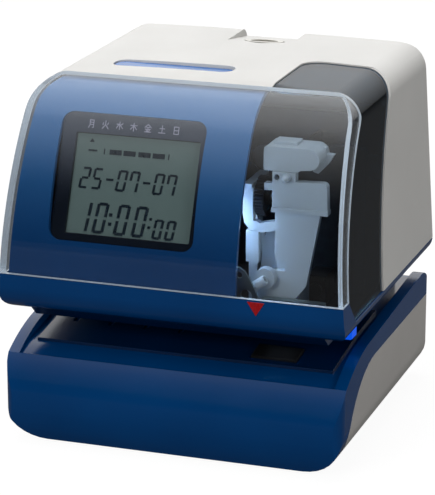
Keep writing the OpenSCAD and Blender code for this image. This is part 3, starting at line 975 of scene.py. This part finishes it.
@dataclass
class Base(SubAssembly):
    """The foot of the machine: blue nose, grey shell, paper table, platen and bottom plate.

    Attributes:
        lip_mm: easing of the shells' partings and rims.
        lip_deg: edges of the shells sharper than this are eased.
        trim_mm: easing of the small parts.
    """

    lip_mm: float = 0.45
    lip_deg: float = 24.0
    trim_mm: float = 0.25
    title: str = "base"

    def build(self) -> list[bpy.types.Object]:
        """Shells and table with eased rims; small parts keep their CAD shape."""
        shells, small = ("base_front", "base_shell"), ("paper_table", "platen", "neck")
        pieces = [Casting(n, self.lip_mm, from_deg=self.lip_deg).build() for n in shells]
        pieces += [Casting(n, self.trim_mm).build() for n in small]
        pieces += [dress(n) for n in ("base_plate", "rubber_feet", "base_screws", "dc_jack")]
        return pieces


@dataclass
class HeadTray(SubAssembly):
    """The tray under the head, with its chin, throat guide, lamp and sheet-metal chassis.

    Attributes:
        corner_mm: rounding of the chin's upright corners.
        wall_mm: thickness of the tray's wall at those corners.
        rim_mm: easing of the tray's rim.
        rim_deg: edges of the tray sharper than this are eased.
        guide_mm: easing of the throat guide and the card trigger.
        lens_mm: easing of the throat lamp.
        mark_mm: easing of the pointer mark.
        lamp_front: Y before which the throat lamp's front end lies.
        lamp_trim: how far that end is drawn back.
    """

    corner_mm: float = 5.0
    wall_mm: float = 2.0
    rim_mm: float = 0.4
    rim_deg: float = 24.0
    guide_mm: float = 0.25
    lens_mm: float = 0.3
    mark_mm: float = 0.08
    lamp_front: float = -43.0
    lamp_trim: float = 7.0
    title: str = "head tray"

    def round_corners(self, bm: bmesh.types.BMesh) -> None:
        """Round the upright corners at the chin and the rear."""
        round_head_corners(bm, self.corner_mm, self.corner_mm - self.wall_mm)

    def draw_in_lamp(self, bm: bmesh.types.BMesh) -> None:
        """Draw the throat lamp's front end back under the head."""
        ends = [vert for vert in bm.verts if vert.co.y < self.lamp_front * MM]
        bmesh.ops.translate(bm, verts=ends, vec=(0.0, self.lamp_trim * MM, 0.0))

    def build(self) -> list[bpy.types.Object]:
        """Tray with rounded corners, its throat and the metal inside."""
        pieces = [
            Casting("head_tray", self.rim_mm, from_deg=self.rim_deg).build(self.round_corners),
            Casting("throat_guide", self.guide_mm).build(),
            Casting("throat_lamp", self.lens_mm).build(self.draw_in_lamp),
            Casting("pointer_marker", self.mark_mm).build(),
        ]
        pieces += [dress(n, PASSIVATED) for n in ("chassis", "chassis_walls")]
        pieces += [dress(n) for n in ("chassis_screws", "trigger_bracket", "trigger_pin")]
        pieces.append(Casting("card_trigger", self.guide_mm).build())
        return pieces


CORNER_DEG = 14.0
FLAT = 0.02
SIDE_TURN = 0.2
FRONT_TURN = 0.12
MIDDLE_MM = 30.0


def round_head_corners(bm: bmesh.types.BMesh, outer_mm: float, inner_mm: float) -> None:
    """Round the long corners where the head's front or rear meets its sides.

    The head is the crossing of a side outline and a front outline, so a face of the first has no X
    in its normal and a face of the second has no Y.

    Args:
        bm: mesh of one of the head's shells.
        outer_mm: rounding of the outside corner.
        inner_mm: rounding of the corner inside the wall.
    """

    def at_corner(edge: bmesh.types.BMEdge, inside: bool) -> bool:
        """True for an edge between front or rear and side, outside or inside the wall."""
        if not is_sharp(edge, CORNER_DEG):
            return False
        first, second = (face.normal for face in edge.link_faces)
        front, side = (first, second) if abs(first.x) < abs(second.x) else (second, first)
        if abs(front.x) > FLAT or abs(side.y) > FLAT or abs(side.x) < SIDE_TURN:
            return False
        middle = (edge.verts[0].co + edge.verts[1].co) / 2
        if abs(front.y) < FRONT_TURN or abs(middle.x) < MIDDLE_MM * MM:
            return False
        outward = side.x * middle.x > 0 and front.y * middle.y > 0
        inward = side.x * middle.x < 0 and front.y * middle.y < 0
        return (inward and not edge.is_convex) if inside else (outward and edge.is_convex)

    ease(bm, outer_mm, 5, lambda edge: at_corner(edge, False))
    ease(bm, inner_mm, 4, lambda edge: at_corner(edge, True))


@dataclass
class Covers(SubAssembly):
    """The lift-off cover: pale top, clear front, smoked side window, lock and push bar.

    Attributes:
        corner_mm: rounding of the head's long corners.
        wall_mm: thickness of the covers' walls at those corners.
        parting_mm: easing of the partings between the panels.
        parting_deg: edges of the panels sharper than this are eased.
        bar_mm: easing of the push bar.
        ring_mm: easing of the lock's ring.
        barrel_mm: easing of the lock's barrel.
        cover_rim: centre (Y, Z) and radius of the clear cover's rear rim, in the side view.
        edge_mm: how far the painted highlight strip along the rim stands proud.
        crest_mm: height above which a face that looks to the rear gets the painted highlight too.
        rim_near: how far off the rim's circle a face of the rim may lie.
        rim_turn: most that such a face turns to the side.
        foot_near: how far above the foot a face of the foot may lie.
        faced: least share of a normal along the way that a face looks.
        window_foot: corner of the side window that stays put when its skin is drawn in.
        window_scale: how much of its width, depth and height the window keeps.
    """

    corner_mm: float = 5.0
    wall_mm: float = 2.0
    parting_mm: float = 0.35
    parting_deg: float = 24.0
    bar_mm: float = 0.5
    ring_mm: float = 0.3
    barrel_mm: float = 0.2
    cover_rim: tuple[float, float, float] = (41.936, 72.336, 105.0)
    edge_mm: float = 0.06
    crest_mm: float = 147.0
    rim_near: float = 0.45
    rim_turn: float = 0.2
    foot_near: float = 0.2
    faced: float = 0.9
    window_foot: tuple[float, float, float] = (31.5, 0.0, 65.8)
    window_scale: tuple[float, float, float] = (0.981, 1.0, 0.9935)
    title: str = "covers"

    def round_corners(self, bm: bmesh.types.BMesh) -> None:
        """Round the long corners of a cover panel."""
        round_head_corners(bm, self.corner_mm, self.corner_mm - self.wall_mm)

    def build(self) -> list[bpy.types.Object]:
        """Three panels with rounded corners, the lock and the bar."""
        shapes = {
            "top_cover": self.round_corners,
            "clear_cover": self.round_corners,
            "side_window": self.recess_window,
        }
        pieces = [
            Casting(node, self.parting_mm, from_deg=self.parting_deg).build(shape)
            for node, shape in shapes.items()
        ]
        pieces += [
            Casting("push_bar", self.bar_mm, 3, finish=SHEEN_BAR_BLUE).build(),
            Casting("lock_ring", self.ring_mm).build(),
            Casting("lock_barrel", self.barrel_mm).build(),
            dress("lock_cam"),
            dress("bar_carrier"),
            self.lay_rim_highlight("clear_cover", self.cover_rim),
        ]
        return pieces

    def recess_window(self, bm: bmesh.types.BMesh) -> None:
        """Draw the side window's skin in a little, so that the pale cover's edge frames it."""
        pivot = Matrix.Translation(-Vector(self.window_foot) * MM)
        bmesh.ops.scale(bm, vec=self.window_scale, space=pivot, verts=bm.verts)

    def lay_rim_highlight(self, node: str, rim: tuple[float, float, float]) -> bpy.types.Object:
        """Lay a pale strip along a clear panel's rim as a painted highlight, where its polished
        face gathers light.

        Args:
            node: the panel's CAD node.
            rim: centre (Y, Z) and radius of the rim in the side view.

        Returns:
            The piece.
        """
        bm = solid_of(node)
        centre = Vector(rim[:2]) * MM
        low = min(vert.co.z for vert in bm.verts)

        def is_edge(face: bmesh.types.BMFace) -> bool:
            """True for a face of the rim, of the foot or of the rear edge near the crest."""
            middle = face.calc_center_median()
            reach = (Vector((middle.y, middle.z)) - centre).length
            near = abs(reach - rim[2] * MM) < self.rim_near * MM
            at_rim = near and abs(face.normal.x) < self.rim_turn and face.normal.y > 0.0
            at_foot = face.normal.z < -self.faced and middle.z < low + self.foot_near * MM
            at_crest = face.normal.y > self.faced and middle.z > self.crest_mm * MM
            return at_rim or at_foot or at_crest

        spare = [face for face in bm.faces if not is_edge(face)]
        bmesh.ops.delete(bm, geom=spare, context="FACES")
        # the strip stands a hair proud of the panel, so that their faces don't coincide
        for vert in bm.verts:
            vert.co += vert.normal * self.edge_mm * MM
        bmesh.ops.solidify(bm, geom=bm.faces[:], thickness=self.edge_mm * 1.5 * MM)
        bmesh.ops.recalc_face_normals(bm, faces=bm.faces[:])
        # the strip is opaque pale plastic: a painted highlight standing for the light that the rim
        # gathers
        return present(bm, node + "_rim_highlight", RIM_HIGHLIGHT, BODY_OF[node], even=False)


class Stroke(Enum):
    """Strokes of the seven weekday signs, as (x0, z0, x1, z1) on a square of 10 units."""

    MONDAY = (
        (3, 9.5, 3, 3),
        (3, 3, 1.5, 0),
        (3, 9.5, 8, 9.5),
        (8, 9.5, 8, 0.3),
        (3, 6.6, 8, 6.6),
        (3, 3.8, 8, 3.8),
        (8, 0.3, 6.6, 0.3),
    )
    TUESDAY = ((5, 9.8, 5, 5), (5, 5, 1, 0), (5, 5, 9, 0), (2, 7.5, 1.4, 4.8), (8.6, 7.6, 7.6, 5.2))
    WEDNESDAY = ((5, 9.8, 5, 0.3), (1, 7, 4, 7), (4, 7, 1, 2), (9, 8, 6, 5.6), (5.5, 6, 9.2, 1.8))
    THURSDAY = ((0.8, 7, 9.2, 7), (5, 9.8, 5, 0), (5, 7, 1, 2), (5, 7, 9, 2))
    FRIDAY = (
        (5, 9.8, 0.8, 6),
        (5, 9.8, 9.2, 6),
        (3, 6.2, 7, 6.2),
        (1.6, 3.8, 8.4, 3.8),
        (5, 6.2, 5, 0.4),
        (0.8, 0.4, 9.2, 0.4),
        (3, 2.8, 3.4, 1.4),
        (7, 2.8, 6.6, 1.4),
    )
    SATURDAY = ((2, 6, 8, 6), (5, 9.8, 5, 0.6), (0.8, 0.6, 9.2, 0.6))
    SUNDAY = ((2, 9.5, 8, 9.5), (2, 0.5, 8, 0.5), (2, 9.5, 2, 0.5), (8, 9.5, 8, 0.5), (2, 5, 8, 5))


@dataclass
class DisplayUnit(SubAssembly):
    """The blue front panel with its display: window frame, cell, figures and weekday signs.

    Attributes:
        origin: foot of the display's frame, millimetres.
        lean_deg: how far the display leans back.
        height: height of the display opening.
        cell_shift: centre of the cell across and up from the middle of the opening.
        sign_row: first and last sign across the cell, and the row's height above its centre.
        sign_size: height of a sign.
        sign_pen: width of a sign's strokes.
        sign_skin: depth of the print's front and back behind the frame's foot.
        rim_mm: easing of the panel's rims.
        panel_end: X beyond which the panel's right-hand end lies.
        panel_trim: how far that end is drawn in.
        lip_box: lowest and highest X and Z round the display opening.
        lip_mm: rounding of the opening's lip.
        lip_deg: edges of the opening sharper than this are its lip.
    """

    origin: tuple[float, float, float] = (-22.5, -66.4, 92.0)
    lean_deg: float = 21.5
    height: float = 54.0
    cell_shift: tuple[float, float] = (2.0, -2.5)
    sign_row: tuple[float, float, float] = (-21.2, 16.4, 24.9)
    sign_size: float = 3.3
    sign_pen: float = 0.36
    sign_skin: tuple[float, float] = (0.52, 0.62)
    rim_mm: float = 0.5
    panel_end: float = 30.9
    panel_trim: float = 2.4
    lip_box: tuple[tuple[float, float], tuple[float, float]] = ((-60.0, 85.0), (15.0, 148.0))
    lip_mm: float = 1.1
    lip_deg: float = 40.0
    title: str = "display"

    def trim_panel(self, bm: bmesh.types.BMesh) -> None:
        """Draw the panel's right-hand end in and round the lip of the display opening."""
        ends = [vert for vert in bm.verts if vert.co.x > self.panel_end * MM]
        bmesh.ops.translate(bm, verts=ends, vec=(-self.panel_trim * MM, 0.0, 0.0))
        low, high = self.lip_box

        def at_lip(edge: bmesh.types.BMEdge) -> bool:
            """True for an edge between the panel's front and the opening's wall."""
            middle = (edge.verts[0].co + edge.verts[1].co) / (2 * MM)
            inside = low[0] < middle.x < high[0] and low[1] < middle.z < high[1]
            front = min(face.normal.y for face in edge.link_faces) < -0.5
            return inside and front and edge.is_convex and is_sharp(edge, self.lip_deg)

        ease(bm, self.lip_mm, 4, at_lip)

    def place(self) -> Matrix:
        """Transform from the cell's own frame, with Y into the head, to the row frame."""
        lean = Matrix.Rotation(math.radians(-self.lean_deg), 4, "X")
        across, up = self.cell_shift
        shift = Matrix.Translation(Vector((across, 0.0, self.height / 2 + up)) * MM)
        return Matrix.Translation(Vector(self.origin) * MM) @ lean @ shift

    def signs(self) -> bpy.types.Object:
        """Print the seven weekday signs on the frame above the cell."""
        bm = bmesh.new()
        first, last, row = self.sign_row
        unit = self.sign_size / 10
        for index, sign in enumerate(Stroke):
            left = first + (last - first) * index / (len(Stroke) - 1) - 5 * unit
            foot = row - 5 * unit
            for x0, z0, x1, z1 in sign.value:
                start = (left + x0 * unit, foot + z0 * unit)
                self.pen_stroke(bm, start, (left + x1 * unit, foot + z1 * unit))
        body = BODY_OF["lcd_bezel"]
        return present(bm, "weekday_signs", SIGN_INK, body, even=False)

    def pen_stroke(
        self, bm: bmesh.types.BMesh, start: tuple[float, float], end: tuple[float, float]
    ) -> None:
        """Lay one stroke on the frame's face.

        Args:
            bm: mesh of the signs.
            start: start across and up, from the cell's centre.
            end: end across and up.
        """
        a, b = Vector((start[0], 0.0, start[1])), Vector((end[0], 0.0, end[1]))
        run = b - a
        turn = Matrix.Rotation(-math.atan2(run.z, run.x), 4, "Y")
        at = self.place() @ Matrix.Translation((a + b) / 2 * MM) @ turn
        half, pen = (run.length + self.sign_pen) / 2, self.sign_pen / 2
        front, back = self.sign_skin
        block(bm, (-half, front, -pen), (half, back, pen), at)

    def build(self) -> list[bpy.types.Object]:
        """Panel and frame with eased openings, the cell, its figures and the signs."""
        pieces = [
            Casting("front_panel", self.rim_mm, 3, finish=PANEL_BLUE).build(self.trim_panel),
            Casting("lcd_bezel").build(),
        ]
        behind = ("lcd_module", "lcd_segments", "main_board", "board_posts")
        pieces += [dress(n) for n in behind]
        return pieces + [self.signs()]


@dataclass
class PrintUnit(SubAssembly):
    """The lit print unit behind the clear cover.

    Attributes:
        ease_mm: easing of its mouldings.
        tooth_mm: easing of the wheels' teeth.
        plate_mm: easing of the thin plates, the boards and the motor.
        lens_mm: easing of the lamp.
        lamp_low: lowest corner of the white lamp.
        lamp_high: highest corner of the white lamp.
        strip_low: lowest corner of the strip board that carries the lamp.
        strip_high: highest corner of that board.
    """

    ease_mm: float = 0.45
    tooth_mm: float = 0.12
    plate_mm: float = 0.2
    lens_mm: float = 0.4
    lamp_low: tuple[float, float, float] = (19.5, -56.0, 95.0)
    lamp_high: tuple[float, float, float] = (21.0, -52.4, 110.0)
    strip_low: tuple[float, float, float] = (18.3, -55.6, 63.5)
    strip_high: tuple[float, float, float] = (19.5, -52.0, 111.5)
    title: str = "print unit"

    def build(self) -> list[bpy.types.Object]:
        """Mouldings with eased edges, gears, post, plates and the boards behind."""
        mouldings = ("print_frame", "ribbon_cassette", "gear_yoke", "guide_post", "print_head")
        plates = ("hole_bracket", "front_rail", "rear_board", "ribbon_motor")
        pieces = [Casting(n, self.ease_mm, 3).build() for n in mouldings]
        pieces += [Casting(n, self.tooth_mm, 1).build() for n in ("ribbon_gear", "drive_gear")]
        pieces += [Casting(n, self.plate_mm).build() for n in plates]
        pieces += [dress(n) for n in ("gear_shaft", "latch_pin")]
        return pieces + self.work_lamp()

    def work_lamp(self) -> list[bpy.types.Object]:
        """Stand the white lamp on its strip board, behind the panel's edge."""
        pieces = []
        for name, finish, slot, low, high, radius, steps in (
            ("work_lamp", WHITE_LAMP, "lamp_lens", self.lamp_low, self.lamp_high, self.lens_mm, 3),
            (
                "work_lamp_board",
                BOARD,
                "circuit_board",
                self.strip_low,
                self.strip_high,
                self.plate_mm,
                2,
            ),
        ):
            bm = bmesh.new()
            block(bm, low, high)
            ease(bm, radius, steps, lambda edge: is_sharp(edge, SHARP_DEG))
            pieces.append(present(bm, name, finish, BODY_OF["chassis"]))
        return pieces


# ---------------------------------------------------------------------------------------------
# Studio
# ---------------------------------------------------------------------------------------------


@dataclass(frozen=True)
class Softbox:
    """A rectangular softbox that faces the head of the machine; mirrors don't show it.

    Attributes:
        name: lamp's name.
        at: its place, metres.
        size: width and height, metres.
        watts: its power.
    """

    name: str
    at: tuple[float, float, float]
    size: tuple[float, float]
    watts: float
    toward: ClassVar[tuple[float, float, float]] = (0.0, 0.0, 0.08)

    def hang(self) -> None:
        """Hang the lamp and turn it to the machine."""
        data = bpy.data.lights.new(self.name, "AREA")
        data.shape = "RECTANGLE"
        data.size, data.size_y = self.size
        data.energy = self.watts
        lamp = bpy.data.objects.new(self.name, data)
        lamp.location = self.at
        way = Vector(self.toward) - Vector(self.at)
        lamp.rotation_euler = way.to_track_quat("-Z", "Y").to_euler()
        # lamps reach what is behind glass by its clear way alone, so that they count once
        lamp.visible_transmission = False
        lamp.visible_glossy = False
        bpy.context.scene.collection.objects.link(lamp)


SOFTBOXES = (
    Softbox("overhead softbox", (-0.15, 0.1, 1.3), (1.0, 0.8), 8.6),
    Softbox("front softbox", (-0.5, -1.5, 0.7), (0.7, 0.7), 8.0),
    Softbox("rear softbox", (-0.7, 1.5, 0.4), (0.7, 0.7), 6.5),
    Softbox("right softbox", (1.15, -0.75, 0.4), (0.6, 0.6), 4.8),
)


@dataclass
class Studio:
    """Pale floor, soft lamps and the camera at the photograph's angle.

    Attributes:
        azimuth_deg: camera's way round from the front, towards the right.
        elevation_deg: camera's height angle.
        distance: millimetres from the aim point.
        aim: point in the middle of the picture, millimetres.
        focal_px: focal length in pixels of the frame.
        long_side_px: longer side of the frame.
        sensor_mm: width of the camera's sensor.
        floor_half: half the floor's side, metres.
        floor_colour: sRGB colour of the matt floor, which takes the shadow.
        floor_lift: strength of the white that sight adds to it.
        floor_gloss: share of that white for mirrored rays.
        ambient: strength of the plain light from all round.
        dome: strength of the mirrored dome where it is darkest and brightest.
        dome_edge: cosine to its axis at which the mirrored dome is darkest.
        dome_axis: direction in which the mirrored dome is brightest.
    """

    azimuth_deg: float = 18.93
    elevation_deg: float = 17.12
    distance: float = 1126.65
    aim: tuple[float, float, float] = (-3.83, 3.0, 72.82)
    focal_px: float = 2570.65
    long_side_px: float = 495.0
    sensor_mm: float = 36.0
    floor_half: float = 6.0
    floor_colour: str = "#606060"
    floor_lift: float = 0.93
    floor_gloss: float = 0.04
    ambient: float = 0.26
    dome: tuple[float, float] = (0.02, 2.4)
    dome_edge: float = 0.05
    dome_axis: tuple[float, float, float] = (-0.1, 0.35, 0.93)

    def camera(self) -> None:
        """Stand the camera where the photograph was taken from."""
        a, e = math.radians(self.azimuth_deg), math.radians(self.elevation_deg)
        back = Vector((math.sin(a) * math.cos(e), -math.cos(a) * math.cos(e), math.sin(e)))
        data = bpy.data.cameras.new("camera")
        data.sensor_width = self.sensor_mm
        data.lens = self.focal_px * self.sensor_mm / self.long_side_px
        data.clip_start, data.clip_end = 0.05, 30.0
        camera = bpy.data.objects.new("camera", data)
        camera.location = (Vector(self.aim) + back * self.distance) * MM
        camera.rotation_euler = (-back).to_track_quat("-Z", "Y").to_euler()
        bpy.context.scene.collection.objects.link(camera)
        bpy.context.scene.camera = camera

    def sight(self, tree: bpy.types.NodeTree, gloss: float) -> bpy.types.NodeSocket:
        """Share of the white background that a ray gets.

        The camera's rays get all of it, straight or through glass, and mirrored rays get a share.
        A ray that has left a matt surface gets none, so that nothing behind glass is lit by it.

        Args:
            tree: node tree of the floor or the world.
            gloss: share for mirrored rays.

        Returns:
            Socket with the share, 0 to 1.
        """
        rays = add_node(tree, "ShaderNodeLightPath").outputs

        def combine(
            operation: str,
            first: bpy.types.NodeSocket,
            second: Union[bpy.types.NodeSocket, float],
        ) -> bpy.types.NodeSocket:
            """Combine a share with another one or with a number."""
            fixed = isinstance(second, float)
            node = add_node(
                tree,
                "ShaderNodeMath",
                settings={"operation": operation},
                values={1: second} if fixed else None,
                links={0: first} if fixed else {0: first, 1: second},
            )
            return node.outputs[0]

        direct = combine("LESS_THAN", rays["Diffuse Depth"], 0.5)
        behind = combine("GREATER_THAN", rays["Glossy Depth"], 0.5)
        mirrored = combine("MAXIMUM", rays["Is Glossy Ray"], behind)
        through = combine("MAXIMUM", rays["Is Camera Ray"], rays["Is Transmission Ray"])
        seen = combine("GREATER_THAN", combine("SUBTRACT", through, mirrored), 0.5)
        either = combine("MAXIMUM", seen, combine("MULTIPLY", mirrored, gloss))
        return combine("MULTIPLY", either, direct)

    def floor(self) -> None:
        """Lay a pale matt floor that keeps the object's shadow."""
        bm = bmesh.new()
        bmesh.ops.create_grid(bm, x_segments=8, y_segments=8, size=self.floor_half)
        mesh = bpy.data.meshes.new("studio_floor")
        bm.to_mesh(mesh)
        bm.free()
        material = bpy.data.materials.new("pale studio floor")
        material.use_nodes = True
        tree = material.node_tree
        tree.nodes.clear()
        matt = add_node(
            tree,
            "ShaderNodeBsdfDiffuse",
            values={"Color": linear(self.floor_colour), "Roughness": 0.6},
        )
        white = {"Color": linear("#FFFFFF"), "Strength": self.floor_lift}
        lift = add_node(tree, "ShaderNodeEmission", values=white)
        dark = add_node(tree, "ShaderNodeEmission", values={"Strength": 0.0})
        shown = add_node(
            tree,
            "ShaderNodeMixShader",
            links={
                0: self.sight(tree, self.floor_gloss),
                1: dark.outputs[0],
                2: lift.outputs[0],
            },
        )
        both = add_node(
            tree, "ShaderNodeAddShader", links={0: matt.outputs[0], 1: shown.outputs[0]}
        )
        add_node(tree, "ShaderNodeOutputMaterial", links={"Surface": both.outputs[0]})
        mesh.materials.append(material)
        floor = bpy.data.objects.new("studio_floor", mesh)
        bpy.context.scene.collection.objects.link(floor)

    def sky(self) -> None:
        """White backdrop for sight and glass, a dome for mirrors and plain light for the rest."""
        world = bpy.data.worlds.new("studio")
        world.use_nodes = True
        tree = world.node_tree
        tree.nodes.clear()
        way = add_node(tree, "ShaderNodeTexCoord").outputs["Generated"]
        lean = add_node(
            tree,
            "ShaderNodeVectorMath",
            settings={"operation": "DOT_PRODUCT"},
            values={1: self.dome_axis},
            links={0: way},
        )
        darkest, brightest = self.dome
        dome = add_node(
            tree,
            "ShaderNodeMapRange",
            settings={"interpolation_type": "SMOOTHSTEP"},
            values={"From Min": self.dome_edge, "To Min": darkest, "To Max": brightest},
            links={"Value": lean.outputs["Value"]},
        )
        mirrored = add_node(
            tree,
            "ShaderNodeMix",
            settings={"data_type": "FLOAT"},
            values={2: self.ambient},
            links={0: self.sight(tree, 1.0), 3: dome.outputs["Result"]},
        )
        level = add_node(
            tree,
            "ShaderNodeMix",
            settings={"data_type": "FLOAT"},
            values={3: 1.0},
            links={0: self.sight(tree, 0.0), 2: mirrored.outputs[0]},
        )
        light = add_node(
            tree,
            "ShaderNodeBackground",
            values={"Color": linear("#FFFFFF")},
            links={"Strength": level.outputs[0]},
        )
        add_node(tree, "ShaderNodeOutputWorld", links={"Surface": light.outputs[0]})
        bpy.context.scene.world = world

    def build(self) -> None:
        """Set up the studio and the colour handling."""
        self.camera()
        self.floor()
        self.sky()
        for softbox in SOFTBOXES:
            softbox.hang()
        bpy.context.scene.view_settings.view_transform = "Standard"


# ---------------------------------------------------------------------------------------------


def main() -> None:
    """Build the sub-assemblies in order, then the studio."""
    logging.basicConfig(level=logging.INFO, format="%(message)s")
    for part in (Base(), HeadTray(), DisplayUnit(), PrintUnit(), Covers()):
        part.report()
    Studio().build()


if __name__ == "__main__":
    main()
